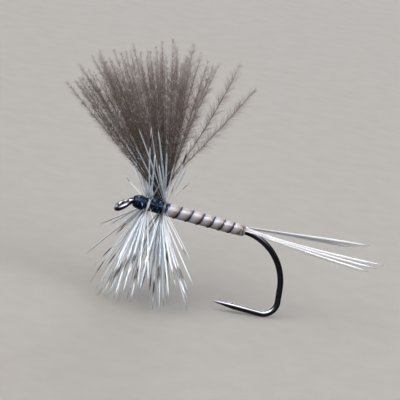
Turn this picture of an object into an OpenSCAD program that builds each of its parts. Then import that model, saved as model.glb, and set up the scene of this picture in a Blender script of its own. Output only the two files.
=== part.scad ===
// Dry fly on a turned-down-eye hook: wound quill body with a thread rib, split tail, upright wing
// of soft down plumes and two wound hackle feathers. All sizes in millimetres.
// The fly is laid out along its shank: x runs from the eye to the tail, z is up, the near side is -y.
// It is then pitched nose-up into the stance it takes on its hackle tips and the bend of its hook.

/* [Hook] */
// diameter of the hook wire
wire_d = 0.43; // [0.3:0.01:0.6]
// straight shank, from the eye's elbow to the start of the bend
shank_l = 7.75; // [6:0.05:10]
// radius of the wide part of the bend
bend_r = 3.9; // [3:0.05:5]
// angle of the wide part of the bend
bend_sweep = 80; // [70:1:88]
// straight leg between the wide bend and the tight corner
bend_leg = 0.95; // [0.3:0.05:1.5]
// radius of the tight corner at the bottom
corner_r = 0.95; // [0.7:0.05:1.4]
// straight spear ahead of the corner
spear_l = 1.9; // [1:0.1:3]
// tapered point
point_l = 1.6; // [1:0.1:2.2]
// height of the small barb over the wire
barb_h = 0.1; // [0.04:0.01:0.16]
// angle by which the eye is turned down
eye_drop = 45; // [20:1:50]
// radius of the elbow behind the eye
elbow_r = 0.25; // [0.24:0.01:0.5]
// tapered neck between the elbow and the wire of the ring
neck_l = 0.15; // [0.12:0.01:0.3]
// clear hole of the eye
eye_bore_d = 0.6; // [0.56:0.01:0.8]
// diameter of the wire round the eye
eye_wire_d = 0.34; // [0.3:0.01:0.45]

/* [Stance] */
// pitch of the shank, nose up
pitch = 8.5; // [0:0.5:20]

/* [Fits] */
// gap between wound layers
layer_gap = 0.012; // [0.005:0.001:0.03]
// running gap at the wing root and the tail roots
run_gap = 0.025; // [0.01:0.005:0.05]

/* [Thread] */
// thread layer over the wire at the tail end
base_t_rear = 0.025; // [0.015:0.005:0.06]
// thread layer over the wire at the front of the body
base_t_front = 0.11; // [0.05:0.005:0.16]
// thread layer over the wire under the head
base_t_head = 0.06; // [0.03:0.005:0.12]
// front end of the thread base
base_x = 0.1; // [0.05:0.01:0.2]
// wall of the thorax wraps
thorax_t = 0.085; // [0.05:0.005:0.15]

/* [Quill body] */
// front of the body
body_x0 = 2.2; // [2:0.05:3]
// gap between the rear end of the body and the start of the bend
body_back = 0.05; // [0:0.05:1]
// wall of the quill in its grooves
quill_t = 0.03; // [0.02:0.005:0.08]
// swell of each turn over the grooves
quill_bulge = 0.035; // [0.01:0.005:0.06]
// width of a turn at the front
turn_front = 0.9; // [0.7:0.01:1.1]
// width of a turn at the rear
turn_rear = 0.63; // [0.5:0.01:0.8]
// diameter of the rib thread
rib_d = 0.07; // [0.05:0.005:0.1]

/* [Tail] */
// length of a tail fibre
tail_l = 9.8; // [7:0.1:12]
// diameter of a tail fibre at its root
tail_d = 0.1; // [0.06:0.01:0.14]
// angle of each bundle from the shank at the root
splay = 25; // [10:1:35]
// part of the splay that is left at the tip
splay_tip = 0.25; // [0:0.05:1]
// length of the wraps that hold the tail
tie_l = 0.22; // [0.15:0.01:0.4]

/* [Wing] */
// middle of the wing root along the shank
wing_x = 1.52; // [1.4:0.01:1.7]
// length of the longest wing barbs
wing_l = 10.5; // [8:0.1:13]
// radius of the root of the wing
root_r = 0.28; // [0.24:0.01:0.32]
// lean of the wing's front edge from upright, forward is negative
fan_front = -56; // [-70:1:-40]
// lean of the wing's rear edge
fan_rear = 24; // [5:1:35]
// spread of the wing to each side
fan_side = 14; // [8:1:18]
// thickness of a wing barb at its widest
wing_barb_d = 0.065; // [0.05:0.005:0.1]

/* [Hackle] */
// length of the longest hackle barbs from the shank
hackle_l = 7.3; // [5:0.1:9]
// wall of the wound feather stem
stem_t = 0.09; // [0.05:0.005:0.15]
// width of the wound stem of one hackle
stem_w = 0.22; // [0.15:0.01:0.3]
// barbs round one turn, counting the places behind the wing that stay bare
hackle_n = 20; // [12:1:22]
// rows of barbs in one hackle
hackle_rows = 4; // [2:1:5]
// forward lean of the foremost barbs under the shank
lean_front = 22; // [5:1:26]
// rearward lean of the rearmost barbs under the shank
lean_rear = 40; // [20:1:45]
// forward lean of the rear hackle's foremost barbs above the shank
lean_up = 32; // [0:1:35]
// rearward lean of the barbs that stand beside the wing
lean_in = 4; // [0:0.5:8]
// half angle that stays bare at the top for the wing
hackle_bare = 21; // [16:1:30]
// thickness of a hackle barb near its root
hackle_barb_d = 0.085; // [0.05:0.005:0.12]

/* [Head] */
// front of the head wraps
head_x0 = 0.12; // [0.08:0.01:0.2]
// rear of the head wraps
head_x1 = 0.84; // [0.7:0.01:0.9]
// largest diameter of the head
head_d = 1.02; // [0.8:0.01:1.2]

/* [Hidden] */

wire_r = wire_d / 2;
eye_r = eye_wire_d / 2;
eye_ring_r = eye_bore_d / 2 + eye_r * 0.93;
// end of the elbow and middle of the eye in shank coordinates
elbow_a = [-elbow_r * sin(eye_drop), 0, -elbow_r * (1 - cos(eye_drop))];
eye_c = elbow_a - (neck_l + eye_ring_r) * [cos(eye_drop), 0, sin(eye_drop)];
// corner of the bend: where the leg ends, and the corner's own centre
leg_a = [shank_l + bend_r * sin(bend_sweep), 0, -bend_r * (1 - cos(bend_sweep))];
leg_b = leg_a + bend_leg * [cos(bend_sweep), 0, -sin(bend_sweep)];
leg_gap = 0.012;
corner_c = leg_b + corner_r * [-sin(bend_sweep), 0, -cos(bend_sweep)];
spear_a = corner_c + [0, 0, -corner_r];
// height of a shank-frame point or direction once the fly is pitched
function lift(p) = -p[0] * sin(pitch) + p[2] * cos(pitch);
floor_z = lift(corner_c) - corner_r - wire_r;

// radii of the wound layers
body_x1 = shank_l - body_back;
base_r_rear = wire_r + layer_gap + base_t_rear;
base_r_front = wire_r + layer_gap + base_t_front;
base_r_head = wire_r + layer_gap + base_t_head;
thorax_x0 = head_x1 + layer_gap;
thorax_x1 = body_x0 - layer_gap;
thorax_r = base_r_front + layer_gap + thorax_t;
stem_front_x = thorax_x0 + layer_gap;
stem_rear_x = thorax_x1 - layer_gap - stem_w;
base_x1 = body_x1 + 3 * layer_gap;
tail_x = base_x1 + layer_gap;
tail_end = tail_x + tie_l;
tail_seat_r = wire_r + layer_gap + 0.7 * tail_d;
tail_butt = 0.4 * tail_d;
hinge_z = thorax_r + layer_gap + run_gap + root_r;

sides = 18;
fits = cos(180 / sides);
// a repeatable scatter from -0.5 to 0.5
function jit(k) = let (v = sin(k * 127.13 + 31.7) * 4375.85) v - floor(v) - 0.5;
function mix(a, b, t) = a + (b - a) * t;
function rows(list) = [for (part = list) for (item = part) item];

// quill turns: count the turns from the front of the body
turns = (body_x1 - body_x0) / ((turn_front + turn_rear) / 2);
turn_k = (turn_front - turn_rear) / turns;
function turn_at(x) = (turn_front - sqrt(pow(turn_front, 2) - 2 * turn_k * (x - body_x0))) / turn_k;
function turn_x(s) = body_x0 + turn_front * s - turn_k * s * s / 2;
function base_r(x) = mix(base_r_front, base_r_rear, (x - body_x0) / (body_x1 - body_x0));
function groove_r(x) = (base_r(x) + layer_gap) / fits + quill_t;
function quill_r(x, a) = let (s = turn_at(x) - a / 360 - 0.3, f = s - floor(s))
    groove_r(x) + quill_bulge * pow(sin(180 * f), 0.6);
// the rib lies in the grooves
rib_s0 = 0.12;
rib_s1 = turns - 0.12;
function rib_at(s) = let (x = turn_x(s), a = 360 * (s - 0.3), r = groove_r(x) + rib_d / 2 + 1.6 * layer_gap)
    [x, r * sin(a), r * cos(a)];
rib_gap = min([for (k = [0:40]) let (s = mix(rib_s0, rib_s1 - 1, k / 40)) norm(rib_at(s + 1) - rib_at(s))])
    - rib_d;
echo(rib_turns = rib_s1 - rib_s0, rib_least_gap = rib_gap);
echo(eye_centre = eye_c, floor = floor_z, hinge_z = hinge_z, tail_end = tail_end, seat = tail_seat_r);

// a point on a ring about the shank, angle 0 at the top and 90 on the far side
function on_ring(x, r, a) = [x, r * sin(a), r * cos(a)];

// faces of a wall between two rings of n points, first points at i and k
function band(i, k, n) = rows([for (j = [0:n - 1])
    let (a = i + j, b = i + (j + 1) % n, c = k + (j + 1) % n, d = k + j)
    [[a, b, c], [a, c, d]]]);

// a rod through a list of points, with n sides and a radius at each point; the ends are flat
module rod(path, radii, n) {
    m = len(path);
    rings = rows([for (i = [0:m - 1])
        let (t = path[min(i + 1, m - 1)] - path[max(i - 1, 0)],
            w = t / norm(t),
            u0 = cross(w, [0, 0, 1]), u = u0 / norm(u0), v = cross(u, w))
        [for (j = [0:n - 1]) path[i] + radii[i] * (cos(360 * j / n) * u + sin(360 * j / n) * v)]]);
    walls = rows([for (i = [0:m - 2]) band(i * n, (i + 1) * n, n)]);
    ends = concat([for (j = [1:n - 2]) [0, j + 1, j]],
        [for (j = [1:n - 2]) [(m - 1) * n, (m - 1) * n + j, (m - 1) * n + j + 1]]);
    polyhedron(rings, [for (f = concat(walls, ends)) [f[0], f[2], f[1]]], 6);
}

// three points round a barb's middle, in line with the three points of its foot
function barb_ring(foot, p, dir, r) = let (c = (foot[0] + foot[1] + foot[2]) / 3,
    a0 = foot[0] - c, a1 = a0 - dir * (a0 * dir), u = a1 / norm(a1), v = cross(dir, u),
    turn = cross(foot[1] - foot[0], foot[2] - foot[0]) * dir > 0 ? 1 : -1)
    [for (j = [0:2]) p + r * (cos(120 * j) * u + turn * sin(120 * j) * v)];
// faces of a barb on the foot a, b, c, whose ring starts at i and whose tip is i + 3
function barb_faces(f, i) = [[f[0], f[1], i + 1], [f[0], i + 1, i],
    [f[1], f[2], i + 2], [f[1], i + 2, i + 1],
    [f[2], f[0], i], [f[2], i, i + 2], [i, i + 1, i + 3], [i + 1, i + 2, i + 3], [i + 2, i, i + 3]];

module in_stance() {
    rotate([0, pitch, 0]) translate(-eye_c) children();
}

// wire arc in the upright plane: starts at the top, turns down to the rear
module wire_arc(r, sweep, wire) {
    rotate([90, 0, 0]) rotate([0, 0, 90 - sweep]) rotate_extrude(angle = sweep, $fn = 96)
        translate([r, 0]) circle(wire, $fn = 32);
}

module hook() {
    color([0.13, 0.13, 0.15]) in_stance() {
        rotate([0, 90, 0]) cylinder(shank_l, wire_r, wire_r, $fn = 32);
        translate([shank_l, 0, -bend_r]) wire_arc(bend_r, bend_sweep, wire_r);
        // the leg is short of the bend and the corner by a hair, and a slight knuckle joins it to each
        translate(leg_a) rotate([0, 90 + bend_sweep, 0]) translate([0, 0, leg_gap])
            cylinder(bend_leg - 2 * leg_gap, wire_r, wire_r, $fn = 32);
        for (p = [leg_a, leg_b]) translate(p) sphere(wire_r + leg_gap / 2, $fn = 32);
        translate(corner_c) rotate([0, bend_sweep, 0]) wire_arc(corner_r, 180 - bend_sweep, wire_r);
        translate(spear_a) rotate([0, -90, 0]) cylinder(spear_l, wire_r, wire_r, $fn = 32);
        translate(spear_a - [spear_l, 0, 0]) rotate([0, -90, 0])
            cylinder(point_l, wire_r, 0.02, $fn = 32);
        // the raised barb on the inside of the point
        translate(spear_a - [spear_l + 0.35, 0, -wire_r * 0.55]) rotate([0, 62, 0])
            cylinder(barb_h + 0.2, 0.07, 0.015, $fn = 16);
        // elbow, tapered neck and ring of the eye; the ring's inside is worn to a short straight land
        translate([0, 0, -elbow_r]) mirror([1, 0, 0]) wire_arc(elbow_r, eye_drop, wire_r);
        translate(elbow_a) rotate([0, -90 - eye_drop, 0])
            cylinder(neck_l + eye_r * 0.28, wire_r, eye_r * 0.83, $fn = 32);
        translate(eye_c) rotate([0, -eye_drop, 0]) rotate_extrude($fn = 64) difference() {
            translate([eye_ring_r, 0]) circle(eye_r, $fn = 32);
            square([eye_bore_d, 4 * eye_r], center = true);
        }
    }
}

// thread laid along the shank, thicker towards the thorax
module thread_base() {
    color([0.1, 0.11, 0.14]) in_stance() rotate([0, 90, 0]) rotate_extrude($fn = 48)
        polygon([[wire_r + layer_gap, base_x], [base_r_head, base_x], [base_r_head, head_x1],
            [base_r_front, thorax_x0 + 0.05], [base_r_front, body_x0], [base_r_rear, body_x1],
            [base_r_rear, base_x1], [wire_r + layer_gap, base_x1]]);
}

// one stripped quill wound in touching turns: each turn swells, with a groove at its edge
module quill_body() {
    nx = 52;
    m = nx + 1;
    xs = [for (i = [0:nx]) mix(body_x0, body_x1, i / nx)];
    outer = rows([for (x = xs) [for (j = [0:sides - 1]) let (a = 360 * j / sides)
        on_ring(x, quill_r(x, a), a)]]);
    inner = rows([for (x = [body_x0, body_x1])
        [for (j = [0:sides - 1]) on_ring(x, (base_r(x) + layer_gap) / fits, 360 * j / sides)]]);
    skin = rows([for (i = [0:nx - 1]) band(i * sides, (i + 1) * sides, sides)]);
    bore = [for (f = band(m * sides, (m + 1) * sides, sides)) [f[0], f[2], f[1]]];
    front = [for (f = band(0, m * sides, sides)) [f[0], f[2], f[1]]];
    rear = band(nx * sides, (m + 1) * sides, sides);
    color([0.85, 0.78, 0.72]) in_stance()
        polyhedron(concat(outer, inner), concat(skin, bore, front, rear), 6);
}

// one unbroken thread along the grooves of the quill
module rib_thread() {
    count = ceil((rib_s1 - rib_s0) * 20);
    path = [for (i = [0:count]) rib_at(mix(rib_s0, rib_s1, i / count))];
    color([0.06, 0.09, 0.16]) in_stance() rod(path, [for (p = path) rib_d / 2], 5);
}

// a tail fibre: side -1 is the near bundle, row 0 to 2 runs from the top of the shank down its side
function tail_angle(side, row) = side * (15 + 27 * row);
function tail_at(side, row, t) = let (a = tail_angle(side, row), s = tail_l * (1 - 0.05 * row) * t,
    away = splay * (1 - (1 - splay_tip) * t / 2) * (0.82 + 0.12 * row),
    up = 2.2 - 1.7 * row + 1.6 * t)
    [tail_end - tail_butt + s * cos(away), tail_seat_r * sin(a) + side * s * sin(away),
     tail_seat_r * cos(a) + s * sin(up)];
module tail_fibre(side, row) {
    steps = 7;
    color([0.93, 0.92, 0.95]) in_stance()
        rod([for (i = [0:steps]) tail_at(side, row, i / steps)],
            [for (i = [0:steps]) mix(tail_d / 2, 0.015, pow(i / steps, 1.4))], 6);
}
module tail_near_upper() { tail_fibre(-1, 0); }
module tail_near_middle() { tail_fibre(-1, 1); }
module tail_near_lower() { tail_fibre(-1, 2); }
module tail_far_upper() { tail_fibre(1, 0); }
module tail_far_middle() { tail_fibre(1, 1); }
module tail_far_lower() { tail_fibre(1, 2); }

// wraps that hold the butts of the tail fibres on the shank, with a seat for each butt
module tail_wraps() {
    color([0.62, 0.5, 0.4]) in_stance() difference() {
        rotate([0, 90, 0]) rotate_extrude($fn = 48)
            polygon([[wire_r + layer_gap, tail_x], [tail_seat_r + tail_d * 0.3, tail_x],
                [tail_seat_r + tail_d * 0.85, tail_x + tie_l * 0.4],
                [tail_seat_r + tail_d * 0.85, tail_x + tie_l * 0.75], [tail_seat_r + tail_d * 0.5, tail_end],
                [wire_r + layer_gap, tail_end]]);
        for (side = [-1, 1], row = [0:2]) let (a = tail_angle(side, row))
            translate([tail_end - tail_butt - run_gap, tail_seat_r * sin(a), tail_seat_r * cos(a)])
            rotate([0, 90, 0]) cylinder(tie_l, tail_d / 2 + run_gap, tail_d / 2 + run_gap, $fn = 24);
    }
}

// wraps that carry the wing and the hackles
module thorax_wraps() {
    r0 = base_r_front + layer_gap;
    color([0.07, 0.08, 0.11]) in_stance() rotate([0, 90, 0]) rotate_extrude($fn = 48)
        polygon([[r0, thorax_x0], [thorax_r, thorax_x0], [thorax_r, thorax_x1], [r0, thorax_x1]]);
}

// saddle of thread round the root of the wing
module wing_wraps() {
    in_r = root_r + 1.4 * run_gap;
    out_r = wing_x - stem_front_x - stem_w - 1.4 * layer_gap;
    color([0.07, 0.08, 0.11]) in_stance() difference() {
        translate([wing_x, 0, 0]) cylinder(hinge_z, out_r, out_r, $fn = 48);
        translate([wing_x, 0, 0]) cylinder(3 * hinge_z, in_r, in_r, center = true, $fn = 48);
        rotate([0, 90, 0]) cylinder(body_x0, thorax_r + layer_gap, thorax_r + layer_gap, $fn = 48);
    }
}

// a down plume: a small wedge of a root whose top is all barbs. The part is the top of the root in x and y,
// as a share of the whole root's radius, lean and side the limits of its fan, m by n the cells, two barbs
// each; power crowds the barbs to one edge
module plume(part, lean, side, m, n, power, seed) {
    top = 0.21 * root_r;
    box = root_r * part;
    grid = rows([for (i = [0:m]) [for (j = [0:n])
        [wing_x + mix(box[0][0], box[1][0], i / m), mix(box[0][1], box[1][1], j / n), hinge_z + top]]]);
    apex = [wing_x + (box[0][0] + box[1][0]) / 2 * 0.85, (box[0][1] + box[1][1]) / 2 * 0.7,
        hinge_z - sqrt(root_r * root_r * 0.8 - pow((box[0][0] + box[1][0]) / 2, 2))];
    function id(i, j) = i * (n + 1) + j;
    feet = rows([for (i = [0:m - 1]) rows([for (j = [0:n - 1])
        [[id(i, j), id(i, j + 1), id(i + 1, j + 1)], [id(i, j), id(i + 1, j + 1), id(i + 1, j)]]])]);
    edge = concat([for (i = [0:m - 1]) [id(i, 0), id(i + 1, 0)]],
        [for (j = [0:n - 1]) [id(m, j), id(m, j + 1)]],
        [for (i = [m:-1:1]) [id(i, n), id(i - 1, n)]], [for (j = [n:-1:1]) [id(0, j), id(0, j - 1)]]);
    first = len(grid) + 1;
    barbs = [for (k = [0:len(feet) - 1])
        let (f = feet[k], foot = [grid[f[0]], grid[f[1]], grid[f[2]]],
            c = (foot[0] + foot[1] + foot[2]) / 3,
            u = (c[0] - wing_x - box[0][0]) / (box[1][0] - box[0][0]),
            v = (c[1] - box[0][1]) / (box[1][1] - box[0][1]),
            uu = power > 0 ? pow(u, power) : 1 - pow(1 - u, -power),
            a = mix(lean[0], lean[1], uu + 0.22 * jit(seed + k) / m),
            b = mix(side[0], side[1], v + 0.22 * jit(seed + k + 500) / n),
            dir = [sin(a) * cos(b), sin(b), cos(a) * cos(b)],
            long = wing_l * (0.94 + 0.13 * jit(seed + k + 900)),
            near = 0.24 * long)
        [barb_ring(foot, c + dir * near, dir, wing_barb_d / 2 * (0.85 + 0.3 * jit(seed + k + 70))),
         c + dir * long]];
    points = concat(grid, [apex], rows([for (b = barbs) concat(b[0], [b[1]])]));
    faces = concat([for (e = edge) [e[0], e[1], len(grid)]],
        rows([for (k = [0:len(feet) - 1]) barb_faces(feet[k], first + 4 * k)]));
    color([0.36, 0.3, 0.27]) in_stance() polyhedron(points, faces, 6);
}
fan_gap = 1.5;
fan_cut_a = mix(fan_front, fan_rear, 0.24);
fan_cut_b = mix(fan_front, fan_rear, 0.60);
fan_mid = [fan_cut_a + fan_gap, fan_cut_b - fan_gap];
fan_end = fan_side - 2 * fan_gap;
module plume_fore() {
    plume([[-0.89, -0.43], [-0.36, 0.43]], [fan_front, fan_cut_a - fan_gap], [-fan_end, fan_end],
        6, 4, 0.8, 11);
}
module plume_near() {
    plume([[-0.3, -0.82], [0.3, -0.055]], fan_mid, [-fan_side, -fan_gap], 7, 3, 1, 207);
}
module plume_far() {
    plume([[-0.3, 0.055], [0.3, 0.82]], fan_mid, [fan_gap, fan_side], 7, 3, 1, 409);
}
module plume_aft() {
    plume([[0.36, -0.43], [0.89, 0.43]], [fan_cut_b + fan_gap, fan_rear], [-fan_end, fan_end],
        6, 4, 1.5, 613);
}

// a wound hackle: the stem lies round the thorax and its barbs stand out all round, bare behind the wing and
// thickest under the shank. Its outer wall has two triangles a cell, and a triangle bears one barb or none.
// under and over hold the lean of the foremost and the rearmost barbs below and above the shank, and crown is 1
// where the barbs above it stand as thick as those below
module hackle(x0, under, over, crown, seed) {
    n = hackle_n;
    m = hackle_rows;
    in_r = (thorax_r + layer_gap) / cos(180 / n);
    out_r = in_r + stem_t;
    outer = rows([for (i = [0:m]) [for (j = [0:n - 1]) let (a = 360 * (j + 0.5) / n - 6 + 12 * i / m)
        on_ring(x0 + stem_w * i / m, out_r, a)]]);
    inner = rows([for (i = [0, m]) [for (j = [0:n - 1]) let (a = 360 * (j + 0.5) / n - 6 + 12 * i / m)
        on_ring(x0 + stem_w * i / m, in_r, a)]]);
    bore_i = (m + 1) * n;
    first = bore_i + 2 * n;
    // each triangle: its corners, the angle and row place of its barb, its own number, and which of two it is
    seats = [for (i = [0:m - 1]) for (j = [0:n - 1]) for (k = [0, 1])
        let (a = i * n + j, b = i * n + (j + 1) % n, c = (i + 1) * n + (j + 1) % n, d = (i + 1) * n + j,
            q = seed + a + 400 * k)
        [k == 0 ? [a, b, c] : [a, c, d], 360 * (j + 1.2 - 0.4 * k + 0.3 * jit(q)) / n - 6 + 12 * (i + 0.5) / m,
         (i + 0.35 + 0.3 * k + 0.4 * jit(q + 300)) / m, q, k]];
    function bare(a) = let (w = a - 360 * floor((a + 180) / 360)) abs(w) < hackle_bare;
    function chance(s) = let (up = cos(s[1]))
        s[4] == 0 ? 0.25 + 0.75 * pow(abs(up), 1.5) : pow(max(crown * up, -up), 3);
    function bears(s) = !bare(s[1]) && jit(s[3] + 40) + 0.5 < chance(s);
    set = [for (s = seats) if (bears(s)) s];
    plain = [for (s = seats) if (!bears(s)) s];
    barbs = [for (s = set)
        let (f = s[0], foot = [outer[f[0]], outer[f[1]], outer[f[2]]],
            p = (foot[0] + foot[1] + foot[2]) / 3,
            low = 0.5 - 0.5 * cos(s[1]), side = 2 * s[2] - 1,
            place = 0.5 + 0.5 * sign(side) * pow(abs(side), 1.5),
            lean = mix(mix(over[0], under[0], low), mix(over[1], under[1], low), place),
            dir = [sin(lean), cos(lean) * sin(s[1]), cos(lean) * cos(s[1])],
            short = 0.14 + 0.2 * (1 - low) + (jit(s[3] + 1200) < -0.15 ? 0.45 : 0),
            reach = hackle_l * (1 - short * (0.5 + jit(s[3] + 800))) - out_r,
            drop = lift(dir), down = drop < -0.2 ? (floor_z - lift(p)) / drop : reach,
            long = min(reach, down))
        [barb_ring(foot, p + dir * 0.2 * long, dir, hackle_barb_d / 2 * (0.9 + 0.2 * jit(s[3]))),
         p + dir * long]];
    points = concat(outer, inner, rows([for (b = barbs) concat(b[0], [b[1]])]));
    faces = concat([for (s = plain) s[0]],
        rows([for (k = [0:len(set) - 1]) barb_faces(set[k][0], first + 4 * k)]),
        [for (f = band(bore_i, bore_i + n, n)) [f[0], f[2], f[1]]],
        [for (f = band(0, bore_i, n)) [f[0], f[2], f[1]]], band(m * n, bore_i + n, n));
    echo(hackle_barbs = len(set));
    color([0.9, 0.89, 0.88]) in_stance() polyhedron(points, faces, 6);
}
module hackle_front() { hackle(stem_front_x, [-lean_front, 2 * lean_in], [-lean_in / 4, lean_in], 0, 66); }
module hackle_rear() { hackle(stem_rear_x, [-2 * lean_in, lean_rear], [-lean_up, 2 * lean_in], 1, 425); }

// wraps of the head, wound to a neat barrel behind the eye
module head_wraps() {
    in_r = base_r_head + layer_gap;
    r = head_d / 2;
    l = head_x1 - head_x0;
    color([0.05, 0.06, 0.09]) in_stance() rotate([0, 90, 0]) rotate_extrude($fn = 48)
        polygon([[in_r, head_x0], [r * 0.68, head_x0], [r * 0.8, head_x0 + l * 0.12],
            [r * 0.93, head_x0 + l * 0.32],
            [r, head_x0 + l * 0.58], [r * 0.98, head_x0 + l * 0.8], [r * 0.9, head_x1], [in_r, head_x1]]);
}

hook();
thread_base();
quill_body();
rib_thread();
tail_wraps();
tail_near_upper();
tail_near_middle();
tail_near_lower();
tail_far_upper();
tail_far_middle();
tail_far_lower();
thorax_wraps();
wing_wraps();
plume_fore();
plume_near();
plume_far();
plume_aft();
hackle_front();
hackle_rear();
head_wraps();
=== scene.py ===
# %% [markdown]
# # A dry fly, piece by piece
#
# A dry fly is tied on a hook, one material at a time: thread, a split tail, a quill wound into a body,
# plumes for the wing, hackle feathers wound round their root, and a head of thread. This lesson dresses the
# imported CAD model: first the hook, then all that is wound, and last all that is made of fibres. The CAD
# solids are the frame and say where everything sits. Each is then hidden, and a finer piece takes its place.

# %% Load the frame
import math

import bpy
import numpy as np
from mathutils import Matrix, Quaternion, Vector


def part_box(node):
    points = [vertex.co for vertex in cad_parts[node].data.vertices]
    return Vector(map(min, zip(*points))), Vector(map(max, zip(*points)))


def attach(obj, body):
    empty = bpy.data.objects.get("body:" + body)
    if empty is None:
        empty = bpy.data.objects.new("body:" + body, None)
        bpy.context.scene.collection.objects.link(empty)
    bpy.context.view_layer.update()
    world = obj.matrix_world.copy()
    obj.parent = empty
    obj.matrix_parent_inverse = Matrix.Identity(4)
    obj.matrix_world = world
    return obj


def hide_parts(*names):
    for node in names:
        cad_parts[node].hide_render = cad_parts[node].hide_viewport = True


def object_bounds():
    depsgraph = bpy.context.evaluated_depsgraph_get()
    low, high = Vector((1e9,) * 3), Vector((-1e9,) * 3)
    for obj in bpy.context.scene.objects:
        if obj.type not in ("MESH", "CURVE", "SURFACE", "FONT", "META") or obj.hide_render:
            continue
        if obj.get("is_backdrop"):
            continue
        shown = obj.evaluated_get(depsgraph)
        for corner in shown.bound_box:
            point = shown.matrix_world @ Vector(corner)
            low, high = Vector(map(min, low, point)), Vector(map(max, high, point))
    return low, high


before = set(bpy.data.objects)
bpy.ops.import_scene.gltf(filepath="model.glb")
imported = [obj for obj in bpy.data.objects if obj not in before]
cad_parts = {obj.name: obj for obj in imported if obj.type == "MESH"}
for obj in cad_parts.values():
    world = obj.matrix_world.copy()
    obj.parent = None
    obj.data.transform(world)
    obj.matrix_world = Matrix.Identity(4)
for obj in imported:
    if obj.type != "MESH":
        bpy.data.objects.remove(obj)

cad_low, cad_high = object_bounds()
print("CAD box, mm:", [round(v * 1000, 2) for v in (*cad_low, *cad_high)])

# %% [markdown]
# ## The tying bench
#
# A fly is tied with its shank level in a vice. So each piece is modelled there, in millimetres: x runs along
# the shank from the eye to the tail, z is up, and the near side is -y. When it is done, one matrix shrinks
# it to metres and tips it nose-up into the stance that the CAD model has. A piece's place is then in its
# mesh, and its object stays at the origin.

# %% From the bench to the fly
PITCH = math.radians(8.5)
# the middle of the eye on the bench, as the CAD model works it out from the drop of the neck
EYE = Vector((-0.606768, 0, -0.503215))
BENCH = Matrix.Scale(0.001, 4) @ Matrix.Rotation(PITCH, 4, "Y") @ Matrix.Translation(-EYE)


def take_off_bench(piece, body, slot, finish, *nodes):
    """Puts a finished piece in its place on the fly, hides the CAD nodes it stands for, and prints how close
    its box lies to theirs.
    """
    piece.data.transform(BENCH)
    piece.data.materials.clear()
    piece.data.materials.append(finish)
    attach(piece, body)
    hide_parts(*nodes)
    spots = np.array([v.co for v in piece.data.vertices])
    solid = np.min([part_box(n)[0] for n in nodes], 0), np.max([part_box(n)[1] for n in nodes], 0)
    off = np.abs(np.array((spots.min(0), spots.max(0))) - solid).max()
    print(f"{piece.name}: {len(piece.data.polygons)} faces, box within {off * 1000:.2f} mm of its solids")


def pick(*pieces):
    """Selects these pieces alone and makes the first one active."""
    bpy.ops.object.select_all(action="DESELECT")
    for piece in pieces:
        piece.select_set(True)
    bpy.context.view_layer.objects.active = pieces[0]
    return pieces[0]


def on_bench(name, mesh):
    """A new object that holds this mesh, curve or light."""
    made = bpy.data.objects.new(name, mesh)
    bpy.context.scene.collection.objects.link(made)
    return pick(made)


print("eye at", [round(v, 6) for v in BENCH @ EYE], "- the origin of the frame")

# %% [markdown]
# ## Camera
#
# The photograph is a close-up from the fly's left, a little from the front and above, with a long lens. The
# camera was found from the eye, the wire and the bend of the hook: 160 mm away, and rolled by 10 degrees, so
# that the shank runs downhill to the tail.

# %% Camera
CAMERA_AZIMUTH, CAMERA_ELEVATION, CAMERA_ROLL = (math.radians(a) for a in (-10.94, 14.77, 10.04))
CAMERA_TARGET = Vector((5.146, 0, 1.007)) / 1000
CAMERA_DISTANCE, CAMERA_LENS, CAMERA_SENSOR = 0.16, 214.93, 36

back = Vector((
    math.sin(CAMERA_AZIMUTH) * math.cos(CAMERA_ELEVATION),
    -math.cos(CAMERA_AZIMUTH) * math.cos(CAMERA_ELEVATION),
    math.sin(CAMERA_ELEVATION),
))
camera = on_bench("photo_camera", bpy.data.cameras.new("photo_camera"))
camera.data.lens, camera.data.sensor_width = CAMERA_LENS, CAMERA_SENSOR
camera.data.clip_start = 0.01
camera.location = CAMERA_TARGET + back * CAMERA_DISTANCE
turn = (-back).to_track_quat("-Z", "Y") @ Quaternion((0, 0, 1), CAMERA_ROLL)
camera.rotation_euler = turn.to_euler()
bpy.context.scene.camera = camera
print("camera at", [round(v * 1000, 1) for v in camera.location], "mm")

# %% [markdown]
# ## Finishes
#
# Every finish is a Principled shader with a few pattern nodes in front of it. Colours are written as sRGB
# hex values, as one would pick them from a paint card, and one function turns them into the linear numbers
# that the shader wants. Another adds a node with its settings and links.

# %% Helpers for finishes


def linear(code):
    """A hex colour as linear RGBA."""
    parts = [int(code[i:i + 2], 16) / 255 for i in (1, 3, 5)]
    return (*(c / 12.92 if c <= 0.04045 else ((c + 0.055) / 1.055) ** 2.4 for c in parts), 1)


def new_finish(name, **sockets):
    """A material with one Principled shader, whose plain sockets are set by name."""
    finish = bpy.data.materials.new(name)
    finish.use_nodes = True
    shader = finish.node_tree.nodes["Principled BSDF"]
    for socket, value in sockets.items():
        shader.inputs[socket.replace("_", " ")].default_value = value
    return finish, finish.node_tree, shader


def add_node(tree, kind, inputs, ramp=(), **settings):
    """Adds a node, sets it up, and feeds each input from a number, a colour or another node's output."""
    node = tree.nodes.new(kind)
    for name, value in settings.items():
        setattr(node, name, value)
    for socket, value in inputs.items():
        if isinstance(value, bpy.types.NodeSocket):
            tree.links.new(value, node.inputs[socket])
        else:
            node.inputs[socket].default_value = value
    for k, (place, code) in enumerate(ramp):
        stops = node.color_ramp.elements
        stop = stops[k] if k < 2 else stops.new(place)
        stop.position, stop.color = place, linear(code)
    return node


print("a mid grey reads", round(linear("#808080")[0], 4), "in linear light")

# %% [markdown]
# ## Floor and light
#
# The fly stands on a plain pale board under soft studio light: a wide lamp above and to the left, another
# one above and to the right, and a weak one behind that lets the fine fibres glint. Shiny pieces mirror a
# strip light overhead, as the highlights on the eye and the head ask for. Only reflections see it. The
# lamps are a little strong, so the board is painted a little darker than it is meant to look.

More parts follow.
